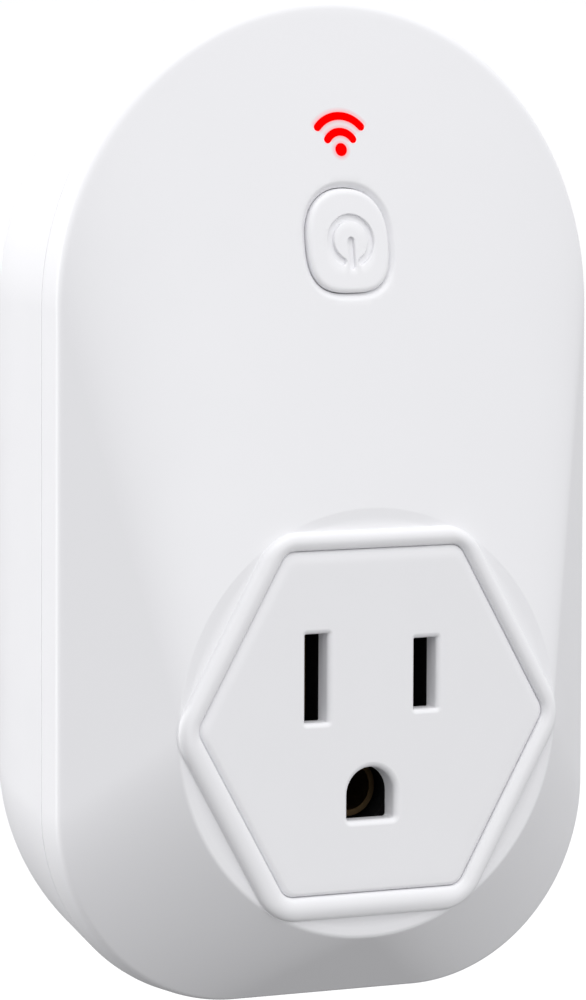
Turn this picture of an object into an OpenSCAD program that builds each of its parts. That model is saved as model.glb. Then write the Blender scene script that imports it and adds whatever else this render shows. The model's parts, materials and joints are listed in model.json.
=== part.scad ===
// Smart plug: a tall pass-through wall plug with one grounded outlet, a power button and a status icon.
// Origin: midway between the two flat blades, on the flat back face. The front faces -Y, +Z is up.

/* [Body] */
// Width of the body
body_w = 61.8; // [58:0.2:66]
// Height of the body's top above the outlet's slots
top_z = 68.2; // [66:0.2:70]
// Height of the body's bottom below the outlet's slots
foot_drop = 33.8; // [32:0.2:36]
// Corner radius of the front edge at the bottom
foot_r = 20.3; // [19:0.1:23]
// Depth from the wall to the front edge
rim_d = 18.4; // [18:0.1:19]
// Depth from the wall to the round boss
disc_d = 27.5; // [27.5:0.1:28.5]
// Wall thickness of the covers
wall_t = 2; // [1.8:0.1:2.2]

/* [Outlet] */
// Distance between the two flat blades, and between the two slots
blade_pitch = 12.7; // [12.7]
// Distance from the blades' middle down to the ground pin
ground_drop = 11.9; // [11.9]
// Radius of the round boss around the outlet
disc_r = 21.9; // [21:0.1:22.2]
// Centre of the boss below the slots
disc_drop = 4.9; // [4.5:0.05:5.2]
// Half the outlet face's distance across flats
face_flat = 17.25; // [16.5:0.05:17.5]
// Groove between the outlet face and the bead around it
groove_w = 0.25; // [0.2:0.05:0.5]
// Width of the raised bead
bead_w = 2; // [1.5:0.1:2.4]

/* [Button] */
// Width of the button cap
button_w = 10.1; // [9:0.1:11]
// Height of the button cap
button_h = 10.8; // [9.5:0.1:11.5]
// Height of the button's centre above the slots
button_z = 43.9; // [42:0.1:45]
// Height of the icon's dot above the slots
icon_z = 53.1; // [52:0.1:54]

/* [Hidden] */

$fn = 64;
eps = 0.01;

// Front-to-back places, all negative because the front faces -Y
rim_y = -rim_d;
disc_y = -disc_d;
face_y = disc_y - 0.5;
bead_y = disc_y - 1;
parting_y = rim_y + 3.6;
edge_r = 1;
slice_t = 0.1;
lip_t = 1.2;
lip_gap = 0.15;
foot_z = -foot_drop;
top_c = top_z - body_w / 2;
disc_z = -disc_drop;
foot_lift = 0.24;

// The boss stands a little proud of the loft that carries it
loft_y = disc_y + 0.5;

// Outlet face
face_t = 2.2;
face_corner = 1.6;
bead_corner = 4.3;
flange_y = -25.4;
flange_back = -24.2;
flange_flat = 18.2;
flange_corner = 5.2;
slot_w = 2.6;
slot_line_h = 7.2;
slot_neutral_h = 9.1;
ground_hole_r = 2.75;
ground_hole_flat = 2.6;

// Blades and contacts
blade_x = blade_pitch / 2;
ground_z = -ground_drop;
blade_t = 1.5;
blade_w = 6.35;
blade_tip = 17.6;
pin_r = 2.375;
pin_root_r = 2.2;
pin_tip = 21.4;
socket_r = 2.42;
leaf_t = 0.5;
leaf_gap = 1.56;
contact_front = -23.2;
contact_back = -10;

// Contact carrier and blade holder share an outline
carrier_half_w = 14.5;
carrier_top = 8.4;
carrier_bottom = -18.6;
carrier_front = -24.1;
carrier_back = -7.4;
holder_front = -7.3;
holder_back = -2.3;
holder_screw_x = 12.4;
holder_screw_z = -2.5;

// Main board
board_front = -16.6;
board_back = -15;
board_r = 24.4;
board_bottom = 21.5;
board_screw_x = 19.5;
board_screw_z = 27;
case_top_x = 15.2;
case_top_z = 51.9;
case_foot_x = 19.4;
case_foot_z = -17;
case_screw_r = 1.2;
case_head_r = 2.4;
post_r = 2.6;
case_cup_r = 3.6;
post_sink = 0.9;

// Relay, lying on the back of the board
relay_x0 = -11.5;
relay_x1 = 7.5;
relay_z0 = 23.8;
relay_z1 = 36.2;
relay_front = board_back + 0.1;
relay_back = -2.5;
relay_wall = 0.7;
relay_mid = (relay_z0 + relay_z1) / 2;
coil_x = -5.5;
hinge_x = 0.5;

// Leads
lead_r = 0.9;
lead_slot = 1.8;
lead_y = -6;
load_y = -12;
lead_start = 3.3;
lead_board_y = -13.9;
lead_top = 22.8;
lead_steps = 10;
lead_sides = 10;

// ---------- shared shapes ----------

// A flat outline in X and Z, given thickness from y = front to y = back
module slab(front, back) {
  translate([0, back, 0]) rotate([90, 0, 0]) linear_extrude(back - front) children();
}

module rod_y(x, z, r, front, back) {
  translate([x, back, z]) rotate([90, 0, 0]) cylinder(r = r, h = back - front);
}

module box(x0, x1, y0, y1, z0, z1) {
  translate([x0, y0, z0]) cube([x1 - x0, y1 - y0, z1 - z0]);
}

// The body's outline: a half-round top and two large corners at the foot
module outline(inset, lift = 0) {
  w = body_w / 2 - inset;
  r = foot_r - inset;
  low = foot_z + inset + lift;
  translate([0, top_c]) circle(w);
  translate([-w, low + r]) square([2 * w, top_c - low - r]);
  translate([-(w - r), low]) square([2 * (w - r), r + eps]);
  for (side = [-1, 1]) translate([side * (w - r), low + r]) circle(r);
}

// Behind the parting line the foot rises towards the wall
module outline_at(y, inset) {
  outline(inset, foot_lift * (y - parting_y));
}

module rounded_rect(w, h, r) {
  translate([-w / 2 + r, -h / 2]) square([w - 2 * r, h]);
  translate([-w / 2, -h / 2 + r]) square([w, h - 2 * r]);
  for (sx = [-1, 1], sz = [-1, 1]) translate([sx * (w / 2 - r), sz * (h / 2 - r)]) circle(r);
}

// Hexagon with flats at the top and bottom and rounded corners, at the boss centre
module rounded_hexagon(flat, r) {
  reach = (flat - r) / cos(30);
  corners = [for (i = [0:5]) reach * [cos(60 * i), sin(60 * i)]];
  translate([0, disc_z]) {
    polygon([for (i = [0:5], s = [-30, 30]) corners[i] + r * [cos(60 * i + s), sin(60 * i + s)]]);
    for (c = corners) translate(c) circle(r);
  }
}

module arc_band(radius, half_angle, stroke) {
  intersection() {
    difference() {
      circle(radius + stroke / 2);
      circle(radius - stroke / 2);
    }
    polygon([[0, 0], 2 * radius * [-sin(half_angle), cos(half_angle)],
             2 * radius * [sin(half_angle), cos(half_angle)]]);
  }
  for (s = [-1, 1]) translate(radius * [s * sin(half_angle), cos(half_angle)]) circle(stroke / 2);
}

// Status icon: a dot under two arcs
module icon(grow) {
  translate([0, icon_z]) {
    circle(0.55 + grow);
    arc_band(2, 48, 0.7 + 2 * grow);
    arc_band(3.3, 45, 0.7 + 2 * grow);
  }
}

// A smooth curve that leaves a towards b and reaches d from c
function curve(a, b, c, d) = [for (i = [0:lead_steps]) let (t = i / lead_steps, u = 1 - t)
  u * u * u * a + 3 * u * u * t * b + 3 * u * t * t * c + t * t * t * d];

function heading(p, i) = p[min(i + 1, len(p) - 1)] - p[max(i - 1, 0)];

function ring(centre, along, r) =
  let (u = cross(along, [1, 0, 0]) / norm(cross(along, [1, 0, 0])), v = cross(along, u) / norm(along))
  [for (k = [0:lead_sides - 1]) centre + r * (cos(360 * k / lead_sides) * u + sin(360 * k / lead_sides) * v)];

// A round wire along a list of points
module wire(points) {
  n = lead_sides;
  last = len(points) - 1;
  polyhedron(
    [for (i = [0:last]) each ring(points[i], heading(points, i), lead_r)],
    [[for (k = [0:n - 1]) k],
     for (i = [0:last - 1], k = [0:n - 1])
       [i * n + k, (i + 1) * n + k, (i + 1) * n + (k + 1) % n, i * n + (k + 1) % n],
     [for (k = [n - 1:-1:0]) last * n + k]]);
}

module screw(r, head_r, head_t, shaft) {
  difference() {
    union() {
      cylinder(r = head_r, h = head_t);
      translate([0, 0, head_t - eps]) cylinder(r = r, h = shaft + eps);
    }
    for (a = [0, 90]) rotate(a) translate([-head_r * 0.6, -0.25, -eps]) cube([head_r * 1.2, 0.5, 0.6]);
  }
}

// ---------- covers ----------

// The front's solid form, from its edge up to the boss; shrink brings every face inwards
module front_loft(shrink) {
  hull() {
    slab(rim_y + shrink, parting_y) outline(shrink);
    slab(rim_y - edge_r + shrink, rim_y - edge_r + shrink + eps) outline(edge_r + shrink);
    rod_y(0, disc_z, disc_r + 0.3 - shrink, loft_y + shrink, loft_y + shrink + eps);
  }
}

module front_cavity() {
  hull() {
    slab(rim_y + 0.4, parting_y + eps) outline(wall_t);
    slab(rim_y - 0.4, rim_y + 0.4) outline(wall_t + 1);
    rod_y(0, disc_z, disc_r - 1.5, disc_y + wall_t, disc_y + wall_t + 1);
  }
}

module case_posts(r, front, back) {
  for (s = [-1, 1]) {
    rod_y(s * case_top_x, case_top_z, r, front, back);
    rod_y(s * case_foot_x, case_foot_z, r, front, back);
  }
}

module case_holes(r, front, back) {
  for (s = [-1, 1]) {
    rod_y(s * case_top_x, case_top_z, r, front, back);
    rod_y(s * case_foot_x, case_foot_z, r, front, back);
  }
}

module front_cover() color("white") {
  opening_w = button_w + 0.6;
  opening_h = button_h + 0.6;
  difference() {
    union() {
      difference() {
        union() {
          front_loft(0);
          rod_y(0, disc_z, disc_r, disc_y, disc_y + 2);
          slab(bead_y, disc_y + 1) rounded_hexagon(face_flat + groove_w + bead_w, bead_corner);
        }
        front_cavity();
      }
      intersection() {
        union() {
          case_posts(post_r, -26, -14.6);
          for (s = [-1, 1]) rod_y(s * board_screw_x, board_screw_z, 2.2, -25, board_front - 0.05);
        }
        front_loft(post_sink);
      }
    }
    slab(bead_y - 1, -20) rounded_hexagon(face_flat + groove_w, face_corner + groove_w);
    translate([0, 0, button_z]) slab(-28, -18.5) rounded_rect(opening_w, opening_h, 3.4);
    slab(-26, -18) icon(0.06);
    case_holes(case_screw_r + 0.05, -20, -14);
    for (s = [-1, 1]) rod_y(s * board_screw_x, board_screw_z, 0.95, -20.5, board_front + 1);
  }
}

module rear_cover() color("white") {
  blade_slot = [blade_t + 0.3, blade_w + 0.3];
  difference() {
    union() {
      difference() {
        hull() {
          slab(parting_y, parting_y + slice_t) outline(0);
          slab(-8, -8 + slice_t) outline_at(-8, 0.4);
          slab(-4, -4 + slice_t) outline_at(-4, 1.1);
          slab(-1.5, -1.5 + slice_t) outline_at(-1.5, 2.2);
          slab(-slice_t, 0) outline_at(0, 4);
        }
        hull() {
          slab(parting_y - eps, -9) outline_at(-9, wall_t + lip_t + lip_gap);
          slab(-4, -3.9) outline_at(-4, 4.2);
          slab(-wall_t - eps, -wall_t) outline_at(-2, 6);
        }
      }
      difference() {
        slab(parting_y - 2.4, parting_y + 0.5) outline(wall_t + lip_gap);
        slab(parting_y - 3, parting_y + 1) outline(wall_t + lip_gap + lip_t);
      }
      case_posts(post_r, -14.5, -1);
      case_posts(case_cup_r, -6, -1);
    }
    case_holes(case_screw_r + 0.15, -15, 1);
    case_holes(case_head_r + 0.3, -4.5, 1);
    for (s = [-1, 1]) translate([s * blade_x, 0, 0])
      box(-blade_slot[0] / 2, blade_slot[0] / 2, -5, 1, -blade_slot[1] / 2, blade_slot[1] / 2);
    rod_y(0, ground_z, pin_r + 0.15, -5, 1);
  }
}

module slot_hole(x, h, front, back) {
  translate([x, 0, 0]) slab(front, back) rounded_rect(slot_w, h, 0.3);
}

module receptacle_face() color("whitesmoke") {
  difference() {
    union() {
      hull() {
        slab(face_y + 1.1, face_y + 1.2) rounded_hexagon(face_flat, face_corner);
        slab(face_y + 0.3, face_y + 0.4) rounded_hexagon(face_flat - 0.3, face_corner);
        slab(face_y, face_y + eps) rounded_hexagon(face_flat - 1.1, face_corner);
      }
      slab(face_y + 1.1, flange_back) rounded_hexagon(face_flat, face_corner);
      slab(flange_y, flange_back) rounded_hexagon(flange_flat, flange_corner);
    }
    slab(face_y + face_t, flange_back + 1) rounded_hexagon(face_flat - 2.2, 1);
    slot_hole(-blade_x, slot_neutral_h, face_y - 1, flange_back);
    slot_hole(blade_x, slot_line_h, face_y - 1, flange_back);
    intersection() {
      rod_y(0, ground_z, ground_hole_r, face_y - 1, flange_back);
      box(-5, 5, face_y - 1, flange_back, ground_z - ground_hole_flat, ground_z + 5);
    }
  }
}

// ---------- button and light ----------

// The front surface falls away towards the top; the cap's face follows it
cap_face_y = -23.2;
cap_flange_front = -19.9;
cap_flange_back = -19.1;
cap_tilt = 8.7;
symbol_r = 2.3;
symbol_stroke = 0.75;
symbol_bar = 3.3;
symbol_depth = 0.35;

// Power symbol, open at its foot, pressed into the cap
module power_symbol() {
  arm = symbol_r + symbol_stroke;
  difference() {
    circle(symbol_r + symbol_stroke / 2);
    circle(symbol_r - symbol_stroke / 2);
    polygon([[0, 0], [-arm / 2, -arm], [arm / 2, -arm]]);
  }
  translate([-symbol_stroke / 2, -symbol_bar]) square([symbol_stroke, symbol_bar]);
}

module button_cap() color("white") {
  translate([0, 0, button_z]) {
    difference() {
      slab(cap_face_y - 1, cap_flange_front + eps) rounded_rect(button_w, button_h, 3.2);
      translate([0, cap_face_y, 0]) rotate([-cap_tilt, 0, 0]) box(-8, 8, -8, 0, -12, 12);
      slab(cap_face_y + 1.6, cap_flange_back) rounded_rect(button_w - 2.4, button_h - 2.4, 2);
      translate([0, cap_face_y, 0]) rotate([-cap_tilt, 0, 0]) slab(-1, symbol_depth) power_symbol();
    }
    slab(cap_flange_front, cap_flange_back) difference() {
      rounded_rect(button_w + 2.2, button_h + 2.2, 4);
      rounded_rect(button_w - 2.4, button_h - 2.4, 2);
    }
    rod_y(0, 0, 1.6, cap_face_y + 1.5, cap_flange_back);
  }
}

module light_guide() color("red") {
  intersection() {
    slab(-26, -18.4) icon(0);
    front_loft(0);
  }
  slab(-18.6, -17.9) translate([0, icon_z + 1.2]) rounded_rect(9.6, 7.2, 1);
}

module light_shroud() color("dimgray") {
  slab(-17.85, board_front) translate([0, icon_z + 1.2]) difference() {
    rounded_rect(9.6, 7.2, 1);
    rounded_rect(8, 5.6, 0.6);
  }
}

module status_leds() color("lightyellow") {
  for (x = [-2, 2]) box(x - 0.8, x + 0.8, board_front - 0.7, board_front, icon_z + 0.4, icon_z + 1.2);
}

// ---------- push switch ----------

tact_top = -18.3;
plunger_top = -19;
plunger_foot = -17.65;

module tact_switch_body() color("black") {
  difference() {
    box(-3, 3, tact_top, board_front, button_z - 3, button_z + 3);
    rod_y(0, button_z, 2.3, -17.85, board_front - 0.2);
    rod_y(0, button_z, 1.72, tact_top - 1, -17.8);
  }
  for (sx = [-1, 1], sz = [-1, 1])
    box(sx * 3.6 - 0.6, sx * 3.6 + 0.6, board_front - 0.2, board_front, button_z + sz * 2.2 - 0.35, button_z + sz * 2.2 + 0.35);
}

module tact_switch_dome() color("silver") {
  translate([0, board_front - 0.2, button_z]) rotate([90, 0, 0]) difference() {
    cylinder(r1 = 2.2, r2 = 0.8, h = 0.4);
    translate([0, 0, -0.12]) cylinder(r1 = 2.2, r2 = 0.8, h = 0.4);
  }
}

module tact_switch_plunger() color("dimgray") {
  rod_y(0, button_z, 1.65, plunger_top, plunger_foot);
}

// ---------- board ----------

module main_board() color("darkgreen") {
  difference() {
    slab(board_front, board_back) {
      translate([0, top_c]) circle(board_r);
      translate([-board_r, board_bottom]) square([2 * board_r, top_c - board_bottom]);
    }
    for (s = [-1, 1]) {
      rod_y(s * case_top_x, case_top_z, post_r + 0.4, -18, -14);
      rod_y(s * board_screw_x, board_screw_z, 1.2, -18, -14);
    }
  }
}

module relay_case() color("royalblue") {
  difference() {
    box(relay_x0, relay_x1, relay_front + 1.5, relay_back, relay_z0, relay_z1);
    box(relay_x0 + relay_wall, relay_x1 - relay_wall, relay_front, relay_back - relay_wall,
        relay_z0 + relay_wall, relay_z1 - relay_wall);
  }
}

module relay_base() color("black") {
  box(relay_x0, relay_x1, board_back, relay_front + 1.5, relay_z0, relay_z1);
}

module relay_bobbin() color("ivory") {
  difference() {
    union() {
      rod_y(coil_x, relay_mid, 2, -12.6, -5.9);
      rod_y(coil_x, relay_mid, 4.8, -12.6, -12.1);
      rod_y(coil_x, relay_mid, 4.8, -6.4, -5.9);
    }
    rod_y(coil_x, relay_mid, 1.55, -13, -5);
  }
}

module relay_coil() color("chocolate") {
  difference() {
    rod_y(coil_x, relay_mid, 4.4, -12.1, -6.4);
    rod_y(coil_x, relay_mid, 2.02, -13, -5);
  }
}

module relay_core() color("silver") {
  rod_y(coil_x, relay_mid, 1.5, -12.6, -5.3);
}

module relay_yoke() color("silver") {
  box(coil_x - 4.8, hinge_x + 0.5, -13.35, -12.65, relay_mid - 4, relay_mid + 4);
  box(hinge_x - 0.5, hinge_x + 0.5, -13.35, -5.05, relay_mid - 4, relay_mid + 4);
}

module relay_armature() color("lightgray") {
  box(coil_x - 4.5, hinge_x + 0.6, -4.75, -3.95, relay_mid - 4, relay_mid + 4);
}

module relay_contact_spring() color("goldenrod") {
  box(hinge_x + 0.6, hinge_x + 1.3, -4.6, -4.2, relay_mid - 2.2, relay_mid + 2.2);
  box(hinge_x + 1.3, hinge_x + 1.6, -11.6, -4.2, relay_mid - 2.2, relay_mid + 2.2);
  translate([hinge_x + 1.6, -10.4, relay_mid]) rotate([0, 90, 0]) cylinder(r = 1.1, h = 0.7);
}

module relay_fixed_terminal() color("goldenrod") {
  box(hinge_x + 3.6, hinge_x + 4.2, relay_front + 1.5, -8.6, relay_mid - 2, relay_mid + 2);
  translate([hinge_x + 2.9, -10.4, relay_mid]) rotate([0, 90, 0]) cylinder(r = 1.1, h = 0.7);
}

module wifi_board() color("darkslategray") {
  box(-9, 9, board_back, -14.2, 42, 59);
}

module wifi_shield() color("silver") {
  difference() {
    box(-7.6, 7.6, -14.2, -11.9, 43, 53.5);
    box(-7.4, 7.4, -14.3, -12.1, 43.2, 53.3);
  }
}

module lying_can(x, z0, z1, r) {
  y = board_back + r;
  translate([x, y, z0]) cylinder(r = r, h = z1 - z0);
}

module bulk_capacitors() color("darkslateblue") {
  lying_can(13.6, 39, 48.6, 3.1);
  lying_can(-13.6, 39, 48.6, 3.1);
}

module bridge_rectifier() color("black") {
  box(10, 14.8, board_back, -12.6, 24, 30.4);
}

module power_converter_chip() color("black") {
  box(-18, -14, board_back, -13.4, 31.5, 36.4);
}

module filter_inductor() color("darkgreen") {
  rod_y(20.3, 35.5, 2.1, board_back, -6.5);
  rod_y(20.3, 35.5, 3.1, board_back, -13.9);
  rod_y(20.3, 35.5, 3.1, -7.6, -6.5);
}

module fuse_resistor() color("seagreen") {
  translate([10.5, -13.4, 33.5]) cylinder(r = 1.6, h = 3.6);
  translate([10.5, -13.4, 31.6]) cylinder(r = 0.35, h = 8);
}

module surge_varistor() color("steelblue") {
  translate([15.5, -10.2, 34.6]) rotate([0, 90, 0]) cylinder(r = 4, h = 1.6);
  for (s = [-1, 1]) translate([16.3, board_back, 34.6 + s * 2.5]) rotate([-90, 0, 0]) cylinder(r = 0.4, h = 2.2);
}

module film_capacitor() color("goldenrod") {
  box(-22.6, -18.6, board_back, -6.2, 31, 43);
}

module chip_parts() color("tan") {
  for (i = [0:5]) box(-22 + i * 2.2, -20.8 + i * 2.2, board_front - 0.5, board_front, 33, 34.8);
  for (i = [0:4]) box(8.5 + i * 2.4, 9.9 + i * 2.4, board_front - 0.6, board_front, 36, 37);
  box(-8.5, -4.5, board_front - 1.1, board_front, 28, 33);
}

// ---------- outlet contacts and blades ----------

module carrier_outline() {
  translate([0, (carrier_top + carrier_bottom) / 2])
    rounded_rect(2 * carrier_half_w, carrier_top - carrier_bottom, 2);
}

module contact_carrier() color("dimgray") {
  difference() {
    slab(carrier_front, carrier_back) carrier_outline();
    for (s = [-1, 1]) {
      box(s * blade_x - 2.6, s * blade_x + 2.6, carrier_front - 1, contact_back + 0.1, -5.4, 5.4);
      box(s * blade_x - 0.8, s * blade_x + 0.8, contact_back, carrier_back + 1, -1.6, 1.6);
      rod_y(s * holder_screw_x, holder_screw_z, 0.95, -15, carrier_back + 1);
    }
    rod_y(0, ground_z, 4, carrier_front - 1, contact_back + 0.1);
    rod_y(0, ground_z, 1.6, contact_back, carrier_back + 1);
    translate([blade_x, load_y, 5]) cylinder(r = lead_r + 0.5, h = 5);
  }
}

// Two leaves that wipe a flat blade, joined at the back, with a tail through the carrier
module blade_contact(x, half_h) {
  for (s = [-1, 1])
    box(x + s * (leaf_gap + leaf_t) / 2 - leaf_t / 2, x + s * (leaf_gap + leaf_t) / 2 + leaf_t / 2,
        contact_front, contact_back, -half_h, half_h);
  box(x - leaf_gap / 2 - eps, x + leaf_gap / 2 + eps, contact_back - leaf_t, contact_back, -half_h, half_h);
}

module line_contact() color("goldenrod") {
  blade_contact(blade_x, 3.2);
  box(blade_x - 0.4, blade_x + 0.4, contact_back, carrier_back - 1, 0.4, 1.4);
}

module neutral_contact() color("goldenrod") {
  blade_contact(-blade_x, 4.2);
  box(-blade_x - 0.4, -blade_x + 0.4, contact_back, holder_front, -1.4, 1.4);
}

module ground_contact() color("goldenrod") {
  difference() {
    rod_y(0, ground_z, socket_r + 0.6, contact_front, contact_back);
    rod_y(0, ground_z, socket_r, contact_front - 1, contact_back - 0.6);
    box(-0.4, 0.4, contact_front - 1, contact_back - 0.6, ground_z, ground_z + 5);
  }
  rod_y(0, ground_z, 1.5, contact_back, holder_front);
}

module blade_holder() color("black") {
  difference() {
    slab(holder_front, holder_back) carrier_outline();
    for (s = [-1, 1]) {
      box(s * blade_x - 0.8, s * blade_x + 0.8, holder_front - 1, 0, -blade_w / 2 - 0.05, blade_w / 2 + 0.05);
      box(s * blade_x - 0.8, s * blade_x + 0.8, -4.2, 0, -4.6, 4.6);
      rod_y(s * holder_screw_x, holder_screw_z, 1.2, holder_front - 1, 0);
      rod_y(s * holder_screw_x, holder_screw_z, 2.1, -4.2, 0);
      box(s * blade_x - lead_slot, s * blade_x + lead_slot, holder_front - 0.1, -4.6, blade_w / 2 - 1.2, carrier_top + 1);
    }
    rod_y(0, ground_z, pin_root_r + 0.05, holder_front - 1, 0);
    rod_y(0, ground_z, 3.85, -4.2, 0);
  }
}

// A flat blade with a shoulder behind the rear cover and a chamfered tip
module flat_blade(x) {
  c = 1.2;
  translate([x - blade_t / 2, 0, 0]) rotate([90, 0, 90]) linear_extrude(blade_t) polygon([
    [holder_front, -blade_w / 2], [-4.1, -blade_w / 2], [-4.1, -4.5], [-2.05, -4.5], [-2.05, -blade_w / 2],
    [blade_tip - c, -blade_w / 2], [blade_tip, -blade_w / 2 + c], [blade_tip, blade_w / 2 - c],
    [blade_tip - c, blade_w / 2], [-2.05, blade_w / 2], [-2.05, 4.5], [-4.1, 4.5], [-4.1, blade_w / 2],
    [holder_front, blade_w / 2]]);
}

module line_blade() color("silver") flat_blade(blade_x);

module neutral_blade() color("silver") flat_blade(-blade_x);

module ground_pin() color("silver") {
  rod_y(0, ground_z, pin_root_r, holder_front, 0);
  rod_y(0, ground_z, pin_r, -eps, pin_tip - pin_r);
  translate([0, pin_tip - pin_r, ground_z]) sphere(pin_r);
  rod_y(0, ground_z, 3.8, -4.1, -2.05);
}

// ---------- leads and fasteners ----------

module line_lead() color("black") {
  wire(curve([blade_x, lead_y, lead_start], [blade_x, lead_y, 15], [12, -12, 17], [12.4, lead_board_y, lead_top]));
}

module neutral_lead() color("ivory") {
  wire(curve([-blade_x, lead_y, lead_start], [-blade_x, lead_y, 15], [-13, -12, 17], [-14, lead_board_y, lead_top]));
}

module load_lead() color("firebrick") {
  wire(curve([blade_x, load_y, lead_start], [blade_x, load_y, 14], [3, -13.4, 16], [3, lead_board_y, lead_top]));
}

module insulation_sheet() color("beige") {
  box(-24, 24, -17.2, -16.9, 12, 21.2);
}

module carrier_screws() color("gray") {
  for (s = [-1, 1])
    translate([s * holder_screw_x, -2.8, holder_screw_z]) rotate([90, 0, 0]) screw(0.9, 1.9, 1.4, 7.5);
}

module board_screws() color("gray") {
  for (s = [-1, 1])
    translate([s * board_screw_x, -13.8, board_screw_z]) rotate([90, 0, 0]) screw(0.9, 1.9, 1.2, 4.6);
}

module case_screws() color("gray") {
  for (s = [-1, 1], p = [[case_top_x, case_top_z], [case_foot_x, case_foot_z]])
    translate([s * p[0], -3, p[1]]) rotate([90, 0, 0]) screw(case_screw_r, case_head_r, 1.5, 14);
}

front_cover();
rear_cover();
receptacle_face();
button_cap();
light_guide();
light_shroud();
status_leds();
tact_switch_body();
tact_switch_dome();
tact_switch_plunger();
main_board();
relay_base();
relay_case();
relay_bobbin();
relay_coil();
relay_core();
relay_yoke();
relay_armature();
relay_contact_spring();
relay_fixed_terminal();
wifi_board();
wifi_shield();
bulk_capacitors();
bridge_rectifier();
power_converter_chip();
filter_inductor();
fuse_resistor();
surge_varistor();
film_capacitor();
chip_parts();
contact_carrier();
line_contact();
neutral_contact();
ground_contact();
blade_holder();
line_blade();
neutral_blade();
ground_pin();
line_lead();
neutral_lead();
load_lead();
insulation_sheet();
carrier_screws();
board_screws();
case_screws();
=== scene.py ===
"""Looks of the smart plug: white covers, outlet face, button, lit icon, blades and the parts inside."""

import json
import math

import bmesh
import bpy
import numpy as np
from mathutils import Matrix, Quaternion, Vector

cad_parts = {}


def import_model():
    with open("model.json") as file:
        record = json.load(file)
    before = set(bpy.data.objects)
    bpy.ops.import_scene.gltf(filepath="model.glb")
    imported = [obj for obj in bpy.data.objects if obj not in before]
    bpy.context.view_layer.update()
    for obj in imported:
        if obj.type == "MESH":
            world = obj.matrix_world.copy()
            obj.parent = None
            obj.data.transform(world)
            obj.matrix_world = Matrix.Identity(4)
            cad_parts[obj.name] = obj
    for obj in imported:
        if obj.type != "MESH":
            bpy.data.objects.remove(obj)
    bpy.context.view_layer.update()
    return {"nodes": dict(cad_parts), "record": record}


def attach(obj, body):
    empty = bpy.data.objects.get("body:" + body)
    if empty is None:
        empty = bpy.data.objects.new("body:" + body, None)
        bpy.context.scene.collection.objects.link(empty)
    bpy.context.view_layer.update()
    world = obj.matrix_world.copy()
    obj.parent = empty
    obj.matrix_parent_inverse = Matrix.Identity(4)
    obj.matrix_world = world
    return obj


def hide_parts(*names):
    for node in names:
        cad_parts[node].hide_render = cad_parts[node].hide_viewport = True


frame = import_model()
NODES = frame["nodes"]
MM = 0.001

# ---------- the design's dimensions, in millimetres, as in the CAD ----------

HALF_W = 30.9
TOP_Z = 68.2
FOOT_Z = -33.8
FOOT_R = 20.3
FOOT_LIFT = 0.24  # how far the foot rises for each millimetre of depth behind the parting line
RIM_Y = -18.4
PARTING_Y = -14.8
DISC_Y = -27.5
DISC_R = 21.9
DISC_Z = -4.9
BEAD_FLAT = 19.72
BEAD_CORNER = 5.0
BEAD_H = 0.85
HOLE_X = 0.25
HOLE_Z = 0.3
HOLE_FLAT = 17.55
FACE_FLAT = 17.51
FACE_CORNER = 1.7
FACE_Y = -28.0
FACE_T = 2.2
FACE_EDGE_Y = -24.3
SLOT_PITCH = 12.7
SLOT_HALF_W = 1.31
SLOT_CORNER = 0.12
SLOT_LIP = 0.58
HOLE_DEPTH = 6.0
# x, z and half height of the neutral slot and the line slot
SLOTS = ((-SLOT_PITCH / 2, 0.0, 4.5), (SLOT_PITCH / 2, -0.1, 3.62))
GROUND_Z = -11.9
GROUND_LIP = 0.65
BUTTON_Z = 43.85
ICON_Z = 53.05
TOP_C = TOP_Z - HALF_W
LOFT_H = RIM_Y - DISC_Y
CROWN = 0.3
RIM_FILLET = 1.25
DISC_FILLET = 0.7
WALL = 2.0
SEAM = 0.1  # how far the covers' edges draw in at the parting line


# ---------- mesh helpers ----------

def make_object(name, vertices, faces, weld=True):
    """A smooth-shaded mesh object from points in millimetres."""
    mesh = bpy.data.meshes.new(name)
    mesh.from_pydata((np.asarray(vertices, float) * MM).tolist(), [], faces)
    bm = bmesh.new()
    bm.from_mesh(mesh)
    if weld:
        bmesh.ops.remove_doubles(bm, verts=bm.verts, dist=2e-6)
        bmesh.ops.dissolve_degenerate(bm, edges=bm.edges, dist=1e-7)
    bmesh.ops.recalc_face_normals(bm, faces=bm.faces)
    bm.to_mesh(mesh)
    bm.free()
    obj = bpy.data.objects.new(name, mesh)
    bpy.context.scene.collection.objects.link(obj)
    shade(obj)
    return obj


def shade(obj):
    """Smooth shading, with edges sharper than 35 degrees kept crisp."""
    obj.data.shade_smooth()
    obj.data.set_sharp_from_angle(angle=math.radians(35))


def skin(rings, closed=False, start_cap=True, end_cap=True):
    """Vertices and faces of a surface through rings of equal length."""
    count = len(rings[0])
    vertices = np.vstack(rings)
    faces = []
    steps = len(rings) if closed else len(rings) - 1
    for i in range(steps):
        a, b = i * count, (i + 1) % len(rings) * count
        for k in range(count):
            m = (k + 1) % count
            faces.append((a + k, a + m, b + m, b + k))
    if not closed and start_cap:
        faces.append(tuple(range(count)))
    if not closed and end_cap:
        last = (len(rings) - 1) * count
        faces.append(tuple(last + k for k in reversed(range(count))))
    return vertices, faces


def cut_away(obj, cutter):
    """Subtract the cutter from the object for good, and delete the cutter."""
    modifier = obj.modifiers.new("cut", "BOOLEAN")
    modifier.object = cutter
    modifier.operation = "DIFFERENCE"
    modifier.solver = "EXACT"
    graph = bpy.context.evaluated_depsgraph_get()
    mesh = bpy.data.meshes.new_from_object(obj.evaluated_get(graph))
    obj.modifiers.clear()
    obj.data = mesh
    bpy.data.objects.remove(cutter)


def place(x, y, z):
    """Points from three arrays or numbers."""
    x, y, z = np.broadcast_arrays(np.asarray(x, float), np.asarray(y, float), np.asarray(z, float))
    return np.stack([x, y, z], axis=-1)


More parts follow.
